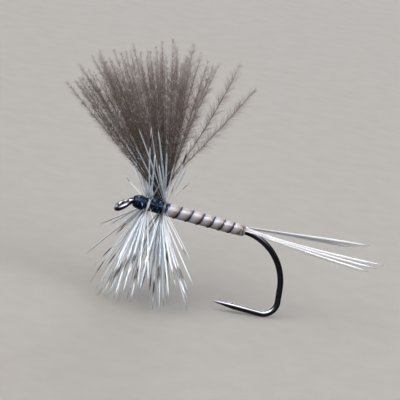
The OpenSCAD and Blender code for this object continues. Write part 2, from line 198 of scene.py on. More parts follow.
# %% Floor
BOARD = "#BBB7B1"
FLOOR_SIZE, ROLLER_GRAIN = 4, 0.002
bpy.ops.object.select_all(action="DESELECT")
bpy.ops.mesh.primitive_plane_add(size=FLOOR_SIZE, location=(0, 0, cad_low.z))
floor = bpy.context.object
floor.name = "studio_floor"
floor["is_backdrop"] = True
# it takes the fly's shadow but throws no light back up, so that the underside stays dark
floor.visible_glossy = floor.visible_diffuse = False
board, tree, shader = new_finish("painted_board", Roughness=0.75, Specular_IOR_Level=0.1)
# matt paint: a roller leaves soft grain about 2 mm wide
place = add_node(tree, "ShaderNodeTexCoord", {})
grain = add_node(
    tree, "ShaderNodeTexNoise",
    {"Vector": place.outputs["Object"], "Scale": 1 / ROLLER_GRAIN, "Detail": 2},
)
tone = add_node(
    tree, "ShaderNodeValToRGB", {0: grain.outputs[0]}, ramp=((0.3, "#AAA6A1"), (0.7, "#AEAAA5"))
)
tree.links.new(tone.outputs[0], shader.inputs["Base Color"])
floor.data.materials.append(board)
print("floor at", round(cad_low.z * 1000, 3), "mm, under the hackle tips and the bend")

# %% World
# what reflections see: direction, cosines where the glow begins and is full, and strength
GLOWS = (
    # three patches side by side make the strip light overhead
    ((-0.58, -0.28, 0.77), 0.78, 0.9, 9.0),
    ((-0.22, -0.3, 0.93), 0.78, 0.9, 9.0),
    ((0.2, -0.3, 0.93), 0.78, 0.9, 9.0),
    # a pale wall on the far side, and a dim one on the near side
    ((0, 0.98, 0.2), 0.3, 0.95, 1.4),
    ((-0.3, -0.9, 0.3), 0.65, 1.0, 0.3),
)
DIM_ROOM, EVEN_GLOW = 0.08, 0.22

world = bpy.data.worlds.new("studio")
bpy.context.scene.world = world
world.use_nodes = True
tree = world.node_tree
ray = add_node(tree, "ShaderNodeLightPath", {})
# the camera sees the board's colour, reflections see the glows, and matt surfaces get an even dim light
glow = tree.nodes["Background"]
glow.inputs["Color"].default_value = linear("#F4F6FA")
glow.inputs["Strength"].default_value = EVEN_GLOW
way = add_node(tree, "ShaderNodeTexCoord", {})
bright = DIM_ROOM
for towards, begins, full, strength in GLOWS:
    facing = add_node(
        tree, "ShaderNodeVectorMath", {0: way.outputs["Generated"], 1: towards}, operation="DOT_PRODUCT"
    )
    part = add_node(
        tree, "ShaderNodeMapRange",
        {"Value": facing.outputs["Value"], "From Min": begins, "From Max": full, "To Max": strength},
    )
    bright = add_node(tree, "ShaderNodeMath", {0: part.outputs[0], 1: bright}, operation="ADD").outputs[0]
mirrored = add_node(tree, "ShaderNodeBackground", {"Color": linear("#F4F8FF"), "Strength": bright})
shown = add_node(tree, "ShaderNodeBackground", {"Color": linear(BOARD), "Strength": 1})
light = glow
for kind, view in (("Glossy", mirrored), ("Transmission", shown), ("Camera", shown)):
    light = add_node(
        tree, "ShaderNodeMixShader",
        {0: ray.outputs[f"Is {kind} Ray"], 1: light.outputs[0], 2: view.outputs[0]},
    )
tree.links.new(light.outputs[0], tree.nodes["World Output"].inputs[0])
print("reflections see", len(GLOWS), "glows, the camera sees", BOARD)

# %% Lamps


def add_lamp(name, place, width, height, watts, code):
    """A soft box that faces the fly, with its width across the shank."""
    lamp = on_bench(name, bpy.data.lights.new(name, "AREA"))
    lamp.data.shape, lamp.data.size, lamp.data.size_y = "RECTANGLE", width, height
    lamp.data.energy, lamp.data.color = watts, linear(code)[:3]
    lamp.location = place
    facing = (Vector(place) - CAMERA_TARGET).normalized()
    upward = facing.cross(Vector((0, -1, 0))).normalized()
    lamp.rotation_euler = Matrix((upward.cross(facing), upward, facing)).transposed().to_euler()
    print(f"{name}: {watts} W, {width * 1000:.0f} mm wide")


add_lamp("key_lamp", (-0.17, -0.15, 0.3), width=0.36, height=0.16, watts=0.89, code="#FFFAF2")
add_lamp("fill_lamp", (0.19, -0.24, 0.26), width=0.3, height=0.3, watts=0.81, code="#F4F7FF")
add_lamp("rim_lamp", (0.1, 0.3, 0.24), width=0.2, height=0.2, watts=0.35, code="#FFFFFF")
bpy.context.scene.view_settings.view_transform = "Standard"

# %% [markdown]
# ## Hook
#
# The hook is one length of steel wire. It is bent, its end is ground to a point, and the other end is
# tapered and rolled into the eye, where it closes against the neck. A lathe or a torus can't show that
# closed end, so the hook is drawn as one path, with a round bevel that thins towards both ends. The barb is
# a sliver raised from the wire near the point: a slim cone that is united with it.

# %% Black nickel
nickel, tree, shader = new_finish("black_nickel_plate", Metallic=1.0, Roughness=0.2)
# bright plating over drawn wire: dark, with a bronze to violet cast, and hazier where the plating is thin
PLATING_PATCH, PLATING_HAZE = 0.0011, 0.0004
place = add_node(tree, "ShaderNodeTexCoord", {})
cast = add_node(
    tree, "ShaderNodeTexNoise",
    {"Vector": place.outputs["Object"], "Scale": 1 / PLATING_PATCH, "Detail": 3},
)
tone = add_node(
    tree, "ShaderNodeValToRGB", {0: cast.outputs[0]},
    ramp=((0.3, "#514C47"), (0.5, "#575454"), (0.7, "#56525E")),
)
tree.links.new(tone.outputs[0], shader.inputs["Base Color"])
haze = add_node(
    tree, "ShaderNodeTexNoise",
    {"Vector": place.outputs["Object"], "Scale": 1 / PLATING_HAZE, "Detail": 1},
)
rough = add_node(tree, "ShaderNodeMapRange", {"Value": haze.outputs[0], "To Min": 0.12, "To Max": 0.22})
tree.links.new(rough.outputs[0], shader.inputs["Roughness"])
print("finish:", nickel.name)

# %% Path of the wire
WIRE_R, EYE_WIRE_R, EYE_RING_R, WIRE_END_R, POINT_R = 0.215, 0.17, 0.458, 0.11, 0.012
SHANK, BEND_R, BEND_SWEEP, LEG, CORNER_R, SPEAR, POINT = 7.75, 3.9, 80, 0.95, 0.95, 1.9, 1.6
ELBOW_R, EYE_DROP, NECK_ASIDE = 0.25, 45, 0.09
LOOP_FROM, LOOP_TO = 62, 298
# where the wire ends beside the neck, by what slope it gets there, and how hard the ends of a swing pull
WIRE_END, END_SLOPE = np.array((0.1, 0.25, -0.01)), -20
NECK_PULL, LOOP_PULL, END_PULL = 0.15, 0.4, 0.2


def arc(centre, radius, start, stop, count):
    """Points of an arc in the upright plane, by angles from the top towards the rear."""
    turn = np.radians(np.linspace(start, stop, count))
    return np.c_[centre[0] + radius * np.sin(turn), 0 * turn, centre[2] + radius * np.cos(turn)]


def along(direction):
    """The level or sloping unit direction at this many degrees below +x."""
    return np.array((math.cos(math.radians(direction)), 0, -math.sin(math.radians(direction))))


bend = arc((SHANK, 0, -BEND_R), BEND_R, 0, BEND_SWEEP, 32)
leg_end = bend[-1] + LEG * along(BEND_SWEEP)
corner = arc(leg_end + CORNER_R * along(90 + BEND_SWEEP), CORNER_R, BEND_SWEEP, 180, 24)
ground = np.linspace(1, 0, 9)[:, None]
point = corner[-1] - (SPEAR + POINT * ground) * along(0)
elbow = arc((0, 0, -ELBOW_R), ELBOW_R, 0, -EYE_DROP, 8)
elbow[:, 1] = np.linspace(0, -NECK_ASIDE, len(elbow))
to_neck = along(-EYE_DROP)
aside = np.array((0, -1, 0))
roll = np.radians(np.linspace(LOOP_FROM, LOOP_TO, 36))[:, None]
loop = np.array(EYE) + EYE_RING_R * (np.cos(roll) * to_neck + np.sin(roll) * aside)
heading = EYE_RING_R * (np.cos(roll) * aside - np.sin(roll) * to_neck)


def swing(start, leave, arrive, stop, count):
    """Points of a smooth swing from start to stop, without start itself."""
    t = np.linspace(0, 1, count + 1)[1:, None]
    return (1 - t) ** 3 * start + 3 * (1 - t) ** 2 * t * leave + 3 * (1 - t) * t ** 2 * arrive + t ** 3 * stop


# the neck swings out to one side of the loop, and the end of the wire comes back on the other
neck = swing(
    elbow[-1], elbow[-1] - NECK_PULL * to_neck, loop[0] - LOOP_PULL * heading[0], loop[0], 7
)[:-1]
closing = swing(
    loop[-1], loop[-1] + LOOP_PULL * heading[-1], WIRE_END - END_PULL * along(END_SLOPE), WIRE_END, 9
)
level = np.linspace((SHANK, 0, 0), (0, 0, 0), 12)[1:-1]
wire = np.concatenate((point, corner[::-1], bend[::-1], level, elbow, neck, loop, closing))
thick = np.full(len(wire), WIRE_R)
thick[:len(point)] = POINT_R + (WIRE_R - POINT_R) * (1 - ground[:, 0]) ** 0.8
rolled = len(neck) + len(loop) + len(closing)
ends = (0, len(neck), len(neck) + len(loop), rolled)
thick[-rolled:] = np.interp(np.arange(rolled), ends, (WIRE_R, EYE_WIRE_R, EYE_WIRE_R, WIRE_END_R))
print("wire length", round(float(np.linalg.norm(np.diff(wire, axis=0), axis=1).sum()), 2), "mm")

# %% Hook
BARB_L, BARB_R, BARB_LEAN, BARB_BACK = 0.32, 0.085, math.radians(62), 0.35
# the barb's root lies inside the wire: its height as a share of the wire's radius, and how deep it is sunk
BARB_RISE, BARB_SUNK = 0.55, 0.02
WELD = 0.0001

path = bpy.data.curves.new("hook_wire", "CURVE")
path.dimensions = "3D"
path.bevel_depth = 1
path.bevel_resolution = 6
path.use_fill_caps = True
run = path.splines.new("POLY")
run.points.add(len(wire) - 1)
run.points.foreach_set("co", np.c_[wire, np.ones(len(wire))].ravel())
run.points.foreach_set("radius", thick)
hook = on_bench("hook_wire", path)
bpy.ops.object.convert(target="MESH")
hook = bpy.context.object

barb_root = corner[-1] - (SPEAR + BARB_BACK) * along(0) + np.array((0, 0, BARB_RISE * WIRE_R))
bpy.ops.object.select_all(action="DESELECT")
bpy.ops.mesh.primitive_cone_add(
    vertices=16, radius1=BARB_R, radius2=POINT_R, depth=BARB_L, rotation=(0, BARB_LEAN, 0),
    location=barb_root + (BARB_L / 2 - BARB_SUNK) * np.array((math.sin(BARB_LEAN), 0, math.cos(BARB_LEAN))),
)
barb = bpy.context.object
pick(barb)
bpy.ops.object.transform_apply(location=True, rotation=True, scale=True)
raised = pick(hook).modifiers.new("raised_barb", "BOOLEAN")
raised.operation, raised.object, raised.solver = "UNION", barb, "EXACT"
bpy.ops.object.modifier_apply(modifier=raised.name)
bpy.data.objects.remove(barb)
# the union leaves two slivers where the barb meets the wire
bpy.ops.object.mode_set(mode="EDIT")
bpy.ops.mesh.select_all(action="SELECT")
bpy.ops.mesh.remove_doubles(threshold=WELD)
bpy.ops.object.mode_set(mode="OBJECT")
bpy.ops.object.shade_smooth_by_angle(angle=math.radians(40))
take_off_bench(hook, "fly", "hook_steel", nickel, "hook")

# %% [markdown]
# ## Windings
#
# Most of a fly is something wound round the shank in touching turns. By hand one would draw the section of
# the strand, give it a Screw modifier about the shank, apply it, and then push the even coil to its real
# taper. The helper does just that. The section is given across in turns and out in millimetres, and reshape
# moves each point from its place on the even coil to its place along the shank and its distance from it.

# %% Helper for windings
HALF_TURN = 0.49


def coil(name, section, turns, steps, reshape, closed=True):
    """A strand of this section, wound round the shank."""
    count = len(section)
    mesh = bpy.data.meshes.new(name)
    mesh.from_pydata(
        [(across, 0, 1 + out) for across, out in section],
        [(i, (i + 1) % count) for i in range(count if closed else count - 1)], [],
    )
    made = on_bench(name, mesh)
    screw = made.modifiers.new("turns", "SCREW")
    screw.axis, screw.angle, screw.screw_offset = "X", -2 * math.pi, 1
    screw.iterations, screw.steps, screw.render_steps = turns, steps, steps
    bpy.ops.object.modifier_apply(modifier=screw.name)
    place = np.array([v.co for v in made.data.vertices])
    radius = np.hypot(place[:, 1], place[:, 2])
    x, r = reshape(place[:, 0], radius - 1)
    place = np.c_[x, place[:, 1] / radius * r, place[:, 2] / radius * r]
    made.data.vertices.foreach_set("co", place.ravel())
    made.data.update()
    return made


def close_up(piece, weld=WELD):
    """Welds the seams, closes the ends, turns the faces outwards and shades the piece smooth."""
    pick(piece)
    bpy.ops.object.mode_set(mode="EDIT")
    bpy.ops.mesh.select_all(action="SELECT")
    bpy.ops.mesh.remove_doubles(threshold=weld)
    bpy.ops.mesh.fill_holes(sides=0)
    bpy.ops.mesh.select_all(action="SELECT")
    bpy.ops.mesh.normals_make_consistent(inside=False)
    bpy.ops.object.mode_set(mode="OBJECT")
    bpy.ops.object.shade_smooth_by_angle(angle=math.radians(50))
    return piece


def round_section(sides, height):
    """The section of a thread that all but touches its neighbours: nearly half a turn to each side."""
    ring = np.linspace(0, 2 * np.pi, sides, endpoint=False)
    return [(HALF_TURN * math.cos(a), height * math.sin(a)) for a in ring]


print("windings come from a Screw modifier, one unit of length a turn")

# %% [markdown]
# ## Thread
#
# Tying thread is a flat bundle of waxed filaments, black with a blue cast where it catches the light. Its
# light-blue glints are also painted into its colour, in streaks. It covers the shank, holds the wing, and
# builds thorax and head. Real thread is about 0.06 mm thick. It is drawn at 0.09 mm, so that the turns just
# show in the render. The base is hidden and lies in flat turns of 0.2 mm.

# %% Waxed thread
waxed, tree, shader = new_finish(
    "waxed_tying_thread", Specular_IOR_Level=0.25, Specular_Tint=linear("#A9CEFF"),
)
# filaments run round the shank, and light-blue glints are painted into the colour in streaks along them.
# Real filaments lie about 0.02 mm apart. They are drawn coarser, 0.1 mm wide and 0.2 mm long, so that they
# show
FILAMENT = (0.0001, 0.0002, 0.0002)
place = add_node(tree, "ShaderNodeTexCoord", {})
lay = add_node(
    tree, "ShaderNodeMapping",
    {"Vector": place.outputs["Object"], "Rotation": (0, PITCH, 0), "Scale": FILAMENT},
    vector_type="TEXTURE",
)
filament_glint_noise = add_node(tree, "ShaderNodeTexNoise", {"Vector": lay.outputs[0], "Scale": 1, "Detail": 3})
# painted highlight: the two lightest stops are light-blue glints, the dark stops are the thread's own black
tone = add_node(
    tree, "ShaderNodeValToRGB", {0: filament_glint_noise.outputs[0]},
    ramp=((0.3, "#020202"), (0.55, "#040506"), (0.62, "#2A4260"), (0.69, "#A6CCF4")),
)
tree.links.new(tone.outputs[0], shader.inputs["Base Color"])
bump = add_node(
    tree, "ShaderNodeBump", {"Height": filament_glint_noise.outputs[0], "Strength": 0.7, "Distance": 0.00003}
)
tree.links.new(bump.outputs[0], shader.inputs["Normal"])
rough = add_node(
    tree, "ShaderNodeMapRange",
    {"Value": filament_glint_noise.outputs[0], "From Min": 0.45, "From Max": 0.65, "To Min": 0.32, "To Max": 0.12},
)
tree.links.new(rough.outputs[0], shader.inputs["Roughness"])
print("finish:", waxed.name)

# %% Thread base, thorax and head
BASE_FROM, BASE_TO = 0.1, 7.736
HEAD_FROM, HEAD_TO, HEAD_R = -0.03, 0.84, 0.51
THORAX_FROM, THORAX_TO, THORAX_R = 0.852, 2.188, 0.434
BODY_FROM, BODY_TO = 2.2, 7.7
# by hand the thread lies a little higher here and lower there, at so many places to the millimetre
UNEVEN, UNEVEN_PLACES = 0.008, 9
rng = np.random.default_rng(11)
uneven = rng.uniform(-UNEVEN, UNEVEN, 80)


def base_r(x):
    """Outside of the base, which is thinner under the head and towards the tail."""
    return np.interp(x, (HEAD_TO, 0.9, BODY_FROM, BODY_TO), (0.287, 0.337, 0.337, 0.252))


def thorax_r(x):
    """Outside of the thorax, which is as thick all along."""
    return np.full_like(x, THORAX_R)


def head_r(x):
    """Outside of the head: a small egg, thickest towards the wing."""
    share = np.clip((x - HEAD_FROM) / (HEAD_TO - HEAD_FROM), 0, 1)
    return HEAD_R * np.interp(share, (0, 0.15, 0.4, 0.65, 0.85, 1), (0.6, 0.8, 0.96, 1, 0.96, 0.82))


def wrapped(name, start, stop, pitch, height, surface):
    """Thread wound from start to stop, with its outside on the surface, a little uneven."""
    turns = int((stop - start) / pitch) - 1

    def reshape(x, out):
        x = np.interp(x, (-0.5, turns + 0.5), (start, stop))
        return x, surface(x) - height + out + np.interp(x * UNEVEN_PLACES, np.arange(len(uneven)), uneven)

    return close_up(coil(name, round_section(8, height), turns, 28, reshape))


base = wrapped("thread_base_wraps", BASE_FROM, BASE_TO, pitch=0.2, height=0.02, surface=base_r)
take_off_bench(base, "fly", "thread", waxed, "thread_base")
thorax = wrapped("thorax_thread_wraps", THORAX_FROM, THORAX_TO, pitch=0.09, height=0.04, surface=thorax_r)
take_off_bench(thorax, "fly", "thread", waxed, "thorax_wraps")
head = wrapped("head_thread_wraps", HEAD_FROM, HEAD_TO, pitch=0.085, height=0.05, surface=head_r)
take_off_bench(head, "fly", "thread", waxed, "head_wraps")

# %% Saddle of thread round the root of the wing
WING_X, HINGE_Z, ROOT_R = 1.52, 0.751, 0.28
SADDLE_R, SADDLE_TURNS, SADDLE_THREAD_R, SADDLE_SINK = 0.415, 4, 0.045, 0.03


def saddle_shape(x, out):
    """The coil as a share of its own height, and its distance from the middle of the root."""
    return (x + 0.5) / (SADDLE_TURNS + 1), SADDLE_R - SADDLE_THREAD_R + out


saddle = coil("wing_saddle_wraps", round_section(8, SADDLE_THREAD_R), SADDLE_TURNS, 32, saddle_shape)
# the coil stands up round the root, and its lower turns follow the round of the thorax
spot = np.array([v.co for v in saddle.data.vertices])
low = np.sqrt(np.maximum(THORAX_R ** 2 - spot[:, 1] ** 2, 0)) - SADDLE_SINK
spot = np.c_[WING_X + spot[:, 2], spot[:, 1], low + (HINGE_Z - low) * spot[:, 0]]
saddle.data.vertices.foreach_set("co", spot.ravel())
take_off_bench(close_up(saddle), "fly", "thread", waxed, "wing_wraps")

# %% [markdown]
# ## Quill body
#
# The body is a feather quill with its barbs stripped off, wound in touching turns. Each turn swells in the
# middle and meets the next in a groove. It is pale and pinkish, with a tan edge towards the tail. The
# section is one turn from groove to groove. After the Screw modifier the coil is pushed to its taper: the
# turns narrow from 0.9 mm to 0.63 mm. Two bisect cuts square its ends. A UV map then says, for each corner
# of a face, how far along the quill it lies and where between its two edges.

# %% Stripped quill
stripped, tree, shader = new_finish(
    "stripped_feather_quill", Roughness=0.36, Specular_IOR_Level=0.5, Subsurface_Weight=0.12,
    Subsurface_Radius=(0.0004, 0.00025, 0.00015), Subsurface_Scale=1.0,
)
# horn-like and satin: pale with a tan edge, and fine fibres along the quill, about 0.05 mm wide: so many to
# a turn along the quill and across it
QUILL_FIBRES = (1.6, 14, 1)
place = add_node(tree, "ShaderNodeUVMap", {}, uv_map="quill")
parts = add_node(tree, "ShaderNodeSeparateXYZ", {0: place.outputs[0]})
lay = add_node(tree, "ShaderNodeMapping", {"Vector": place.outputs[0], "Scale": QUILL_FIBRES})
fibre = add_node(
    tree, "ShaderNodeTexNoise", {"Vector": lay.outputs[0], "Scale": 1, "Detail": 3}, noise_dimensions="2D"
)
shift = add_node(tree, "ShaderNodeMapRange", {"Value": fibre.outputs[0], "To Min": -0.22, "To Max": 0.22})
where = add_node(tree, "ShaderNodeMath", {0: parts.outputs[1], 1: shift.outputs[0]}, operation="ADD")
tone = add_node(
    tree, "ShaderNodeValToRGB", {0: where.outputs[0]},
    ramp=((0.0, "#594C45"), (0.08, "#9A9394"), (0.25, "#B9B5BA"), (0.5, "#B2ABAC"), (0.74, "#9A8981"),
          (0.9, "#775F4F"), (1.0, "#4A392E")),
)
tree.links.new(tone.outputs[0], shader.inputs["Base Color"])
bump = add_node(tree, "ShaderNodeBump", {"Height": fibre.outputs[0], "Strength": 0.6, "Distance": 0.00003})
tree.links.new(bump.outputs[0], shader.inputs["Normal"])
print("finish:", stripped.name)

# %% Quill body
TURN_FRONT, TURN_REAR = 0.9, 0.63
TURNS = (BODY_TO - BODY_FROM) / ((TURN_FRONT + TURN_REAR) / 2)
NARROW = (TURN_FRONT - TURN_REAR) / TURNS
GROOVE_PHASE, GROOVE_R_FRONT, GROOVE_R_REAR, SWELL = 0.3, 0.415, 0.36, 0.04
SEAM = 0.0005


def turn_x(s):
    """Place along the shank after s turns of the quill, counted from the front of the body."""
    return BODY_FROM + TURN_FRONT * s - NARROW * s * s / 2


def turns_at(x):
    """The other way round: turns of the quill in front of this place."""
    return (TURN_FRONT - np.sqrt(TURN_FRONT ** 2 - 2 * NARROW * (x - BODY_FROM))) / NARROW


def groove_r(x):
    """Radius of the grooves between the turns, which taper to the tail."""
    return np.interp(x, (BODY_FROM, BODY_TO), (GROOVE_R_FRONT, GROOVE_R_REAR))


def cut_ends(piece, weld):
    """Cuts a coil square at both ends of the body and closes it."""
    bpy.ops.object.mode_set(mode="EDIT")
    for end, outward in ((BODY_FROM, -1), (BODY_TO, 1)):
        bpy.ops.mesh.select_all(action="SELECT")
        bpy.ops.mesh.remove_doubles(threshold=weld)
        bpy.ops.mesh.bisect(plane_co=(end, 0, 0), plane_no=(outward, 0, 0), clear_outer=True)
    bpy.ops.object.mode_set(mode="OBJECT")
    return close_up(piece, weld)


def quill_shape(x, out):
    """Place and radius on the taper, from turns counted one turn ahead of the body."""
    x = turn_x(x - 1 + GROOVE_PHASE)
    return x, groove_r(x) + out


quill_section = [(s, SWELL * math.sin(math.pi * s) ** 0.6) for s in np.linspace(0, 1, 11)]
quill = coil("quill_body_turns", quill_section, math.ceil(TURNS) + 1, 40, quill_shape, closed=False)
cut_ends(quill, SEAM)
print("quill turns:", round(TURNS, 2))

# %% Map of the quill
corners = np.array([quill.data.vertices[i.vertex_index].co for i in quill.data.loops])
face_of = np.repeat(np.arange(len(quill.data.polygons)), [p.loop_total for p in quill.data.polygons])
middles = np.array([p.center for p in quill.data.polygons])


def quill_turns(spots):
    """How many turns of quill lie in front of these points, so that a whole number is a groove."""
    around = np.arctan2(spots[:, 1], spots[:, 2]) / (2 * np.pi)
    return turns_at(np.clip(spots[:, 0], BODY_FROM, BODY_TO)) - around - GROOVE_PHASE, around


(corner_s, corner_a), (middle_s, middle_a) = quill_turns(corners), quill_turns(middles)
# a face that crosses the seam of the angle takes its corners from one side of it
wrap = np.round(middle_a[face_of] - corner_a)
turn = np.floor(middle_s)[face_of]
across = np.clip(corner_s - wrap - turn, 0, 1)
layer = quill.data.uv_layers.new(name="quill")
layer.data.foreach_set("uv", np.c_[corner_a + wrap + turn, across].ravel())
take_off_bench(quill, "fly", "quill", stripped, "quill_body")

# %% [markdown]
# ## Rib
#
# One strand of navy thread lies in the grooves of the quill and makes its dark rings. It is a coil with a
# round section in the same helper, placed by the same count of turns, so it can't leave its groove. It is
# drawn about twice as thick as the real 0.07 mm, half sunk in the groove, so that the rings show.

# %% Rib thread
ribbing, tree, shader = new_finish(
    "navy_rib_thread", Roughness=0.4, Specular_IOR_Level=0.4, Specular_Tint=linear("#9CC0FF")
)
# two twisted plies, about 0.05 mm long between crossings
PLY = 0.00005
place = add_node(tree, "ShaderNodeTexCoord", {})
plies = add_node(
    tree, "ShaderNodeTexNoise", {"Vector": place.outputs["Object"], "Scale": 1 / PLY, "Detail": 2}
)
tone = add_node(tree, "ShaderNodeValToRGB", {0: plies.outputs[0]}, ramp=((0.35, "#05070D"), (0.7, "#0D1B2E")))
tree.links.new(tone.outputs[0], shader.inputs["Base Color"])
bump = add_node(tree, "ShaderNodeBump", {"Height": plies.outputs[0], "Strength": 0.3, "Distance": 0.00001})
tree.links.new(bump.outputs[0], shader.inputs["Normal"])
print("finish:", ribbing.name)

# %% Rib
RIB_R, RIB_LIFT, USUAL_TURN = 0.065, 0.005, 0.77


def rib_shape(x, out):
    """As for the quill, with the middle of the thread just above the groove."""
    x = turn_x(x - 1 + GROOVE_PHASE)
    return x, groove_r(x) + RIB_LIFT + out


ring = np.linspace(0, 2 * np.pi, 8, endpoint=False)
rib_section = [(RIB_R / USUAL_TURN * math.cos(a), RIB_R * math.sin(a)) for a in ring]
rib = coil("rib_thread_coil", rib_section, int(TURNS), 48, rib_shape)
take_off_bench(cut_ends(rib, WELD), "fly", "rib", ribbing, "rib_thread")

# %% Tan end of the quill
tan, tree, shader = new_finish(
    "tan_quill_end", Roughness=0.4, Subsurface_Weight=0.1, Subsurface_Radius=(0.0004, 0.00025, 0.00015)
)
# the last thin turns of the quill show its tan edge, streaked about 0.04 mm wide and 0.4 mm long
STREAK = (0.00004, 0.0004, 0.0004)
place = add_node(tree, "ShaderNodeTexCoord", {})
lay = add_node(
    tree, "ShaderNodeMapping",
    {"Vector": place.outputs["Object"], "Rotation": (0, PITCH, 0), "Scale": STREAK},
    vector_type="TEXTURE",
)
fibre = add_node(tree, "ShaderNodeTexNoise", {"Vector": lay.outputs[0], "Scale": 1, "Detail": 3})
tone = add_node(
    tree, "ShaderNodeValToRGB", {0: fibre.outputs[0]},
    ramp=((0.3, "#6E5C50"), (0.5, "#9F8D83"), (0.7, "#C4B6AF")),
)
tree.links.new(tone.outputs[0], shader.inputs["Base Color"])
print("finish:", tan.name)

# %% Turns that hold the tail
TAIL_END, TAIL_SEAT_R = 7.968, 0.297
TIE_TURNS, TIE_PITCH, TIE_THICK, TIE_FULL_FROM, TIE_FULL_TO = 2, 0.089, 0.06, 7.8, 7.92


def tie_shape(x, out):
    """Turns that swell over the seat of the tail and close down at both ends."""
    x = BODY_TO + TIE_PITCH * (x + 0.5)
    swell = np.interp(x, (BODY_TO, TIE_FULL_FROM, TIE_FULL_TO, TAIL_END), (0.025, 0.065, 0.065, 0.03))
    return x, TAIL_SEAT_R + swell - TIE_THICK + out


tie = coil("tail_tie_wraps", round_section(8, TIE_THICK), TIE_TURNS, 32, tie_shape)
take_off_bench(close_up(tie), "fly", "quill", tan, "tail_wraps")

# %% [markdown]
# ## Fibres
#
# Tail fibres, hackle barbs and down are all tapered hairs. No modelling operator makes hundreds of them
# along their own paths, and hair curves would not survive the export, so one helper builds them as closed
# tubes with a pointed tip. It also stores two numbers on every point, for the finishes to read: how far
# along its fibre it is, and a random number of its own for each fibre.

# %% Helper for fibres


def unit(vectors):
    """The same directions, one long."""
    return vectors / np.linalg.norm(vectors, axis=-1, keepdims=True)


def fibres(name, paths, radii, sides, shares, numbers, flat=1.0):
    """Closed tapered tubes along paths (fibre, step, xyz); the last step is a pointed tip.

    shares (fibre, step) go into the attribute along, numbers (fibre) into strand, and flat thins the section.
    """
    count, steps, _ = paths.shape
    tangent = unit(np.gradient(paths, axis=1))
    guide = np.where(np.abs(tangent[:, :1, 2:]) > 0.9, (1.0, 0, 0), (0, 0, 1.0))
    side = unit(np.cross(tangent, guide))
    up = np.cross(side, tangent)
    ring = np.linspace(0, 2 * np.pi, sides, endpoint=False)
    spread = np.cos(ring)[:, None] * side[:, :-1, None] + flat * np.sin(ring)[:, None] * up[:, :-1, None]
    rings = paths[:, :-1, None] + radii[:, :-1, None, None] * spread
    points = np.concatenate((rings.reshape(count, -1, 3), paths[:, -1:]), axis=1)
    each = points.shape[1]
    wall = [
        (k * sides + j, k * sides + (j + 1) % sides, (k + 1) * sides + (j + 1) % sides, (k + 1) * sides + j)
        for k in range(steps - 2) for j in range(sides)
    ]
    tip = [(each - 1 - sides + j, each - 1 - sides + (j + 1) % sides, each - 1) for j in range(sides)]
    first = (np.arange(count) * each)[:, None, None]
    faces = [
        face
        for part in (wall, tip, [tuple(range(sides))[::-1]]) if part
        for face in (np.array(part)[None] + first).reshape(-1, len(part[0])).tolist()
    ]
    mesh = bpy.data.meshes.new(name)
    mesh.from_pydata(points.reshape(-1, 3).tolist(), [], faces)
    share = np.concatenate((np.repeat(shares[:, :-1], sides, axis=1), shares[:, -1:]), axis=1)
    for label, values in (("along", share.ravel()), ("strand", np.repeat(numbers, each))):
        mesh.attributes.new(label, "FLOAT", "POINT").data.foreach_set("value", values.astype(np.float32))
    made = on_bench(name, mesh)
    bpy.ops.object.mode_set(mode="EDIT")
    bpy.ops.mesh.select_all(action="SELECT")
    bpy.ops.mesh.normals_make_consistent(inside=False)
    bpy.ops.object.mode_set(mode="OBJECT")
    bpy.ops.object.shade_smooth_by_angle(angle=math.radians(80))
    return made


print("fibres are closed tubes with a pointed tip")

# %% [markdown]
# ## Tail
#
# The tail is two small bundles of glassy white fibres that splay to each side and bend back towards the
# line of the shank. Each fibre is a piece of its own on the tail's body. The fibres let some light through.

# %% Clear fibre
glassy, tree, shader = new_finish(
    "clear_tail_fibre", Roughness=0.28, IOR=1.5, Transmission_Weight=0.22, Subsurface_Weight=0.2,
    Subsurface_Radius=(0.0003, 0.0003, 0.0003),
)
# extruded and tapered fibre: milky white, with a faint lilac cast towards the root
step = add_node(tree, "ShaderNodeAttribute", {}, attribute_name="along")
tone = add_node(
    tree, "ShaderNodeValToRGB", {0: step.outputs["Fac"]},
    ramp=((0.0, "#F3F1F4"), (0.4, "#F8F7FA"), (1.0, "#FCFCFD")),
)
tree.links.new(tone.outputs[0], shader.inputs["Base Color"])
print("finish:", glassy.name)

# %% Tail
TAIL_L, TAIL_BUTT, SPLAY, SPLAY_TIP, RISE_TO_TIP, DRAWN = 9.8, 0.04, 25, 0.25, 1.6, 0.46
# for each fibre of a bundle: degrees round the shank to its seat, share of the length, share of the splay,
# and degrees that it rises from the line of the shank
BUNDLE_ROWS = {
    "upper": (15, 1.0, 0.82, 1.7),
    "middle": (42, 0.95, 0.94, 0.6),
    "lower": (69, 0.9, 1.06, -0.5),
}

steps = np.linspace(0, 1, 14)
taper = np.interp(steps, (0, 0.08, 0.3, 0.65, 0.88, 1), (0.045, 0.04, 0.055, 0.1, 0.085, 0.014))
for side, side_name in ((-1, "near"), (1, "far")):
    runs = []
    for seat, length, splay, climb in BUNDLE_ROWS.values():
        seat = math.radians(side * seat)
        reach = TAIL_L * length * steps
        away = np.radians(SPLAY * (1 - (1 - SPLAY_TIP) * steps / 2) * splay)
        rise = np.radians(climb + RISE_TO_TIP * steps)
        runs.append(np.c_[
            TAIL_END - TAIL_BUTT + reach * np.cos(away),
            TAIL_SEAT_R * math.sin(seat) + side * reach * np.sin(away),
            TAIL_SEAT_R * math.cos(seat) + reach * np.sin(rise),
        ])
    # the tie draws the bundle together, and it opens again towards the tips
    runs = np.array(runs)
    drawn = DRAWN * np.interp(steps, (0, 0.08, 0.3, 1), (0, 1, 1, 0))[:, None]
    runs = runs + drawn * (runs.mean(axis=0) - runs)
    for run, row_name in zip(runs, BUNDLE_ROWS):
        node = f"tail_{side_name}_{row_name}"
        fibre = fibres(node + "_fibre", run[None], taper[None], 10, steps[None], np.zeros(1))
        take_off_bench(fibre, "tail", "tail_fibre", glassy, node)
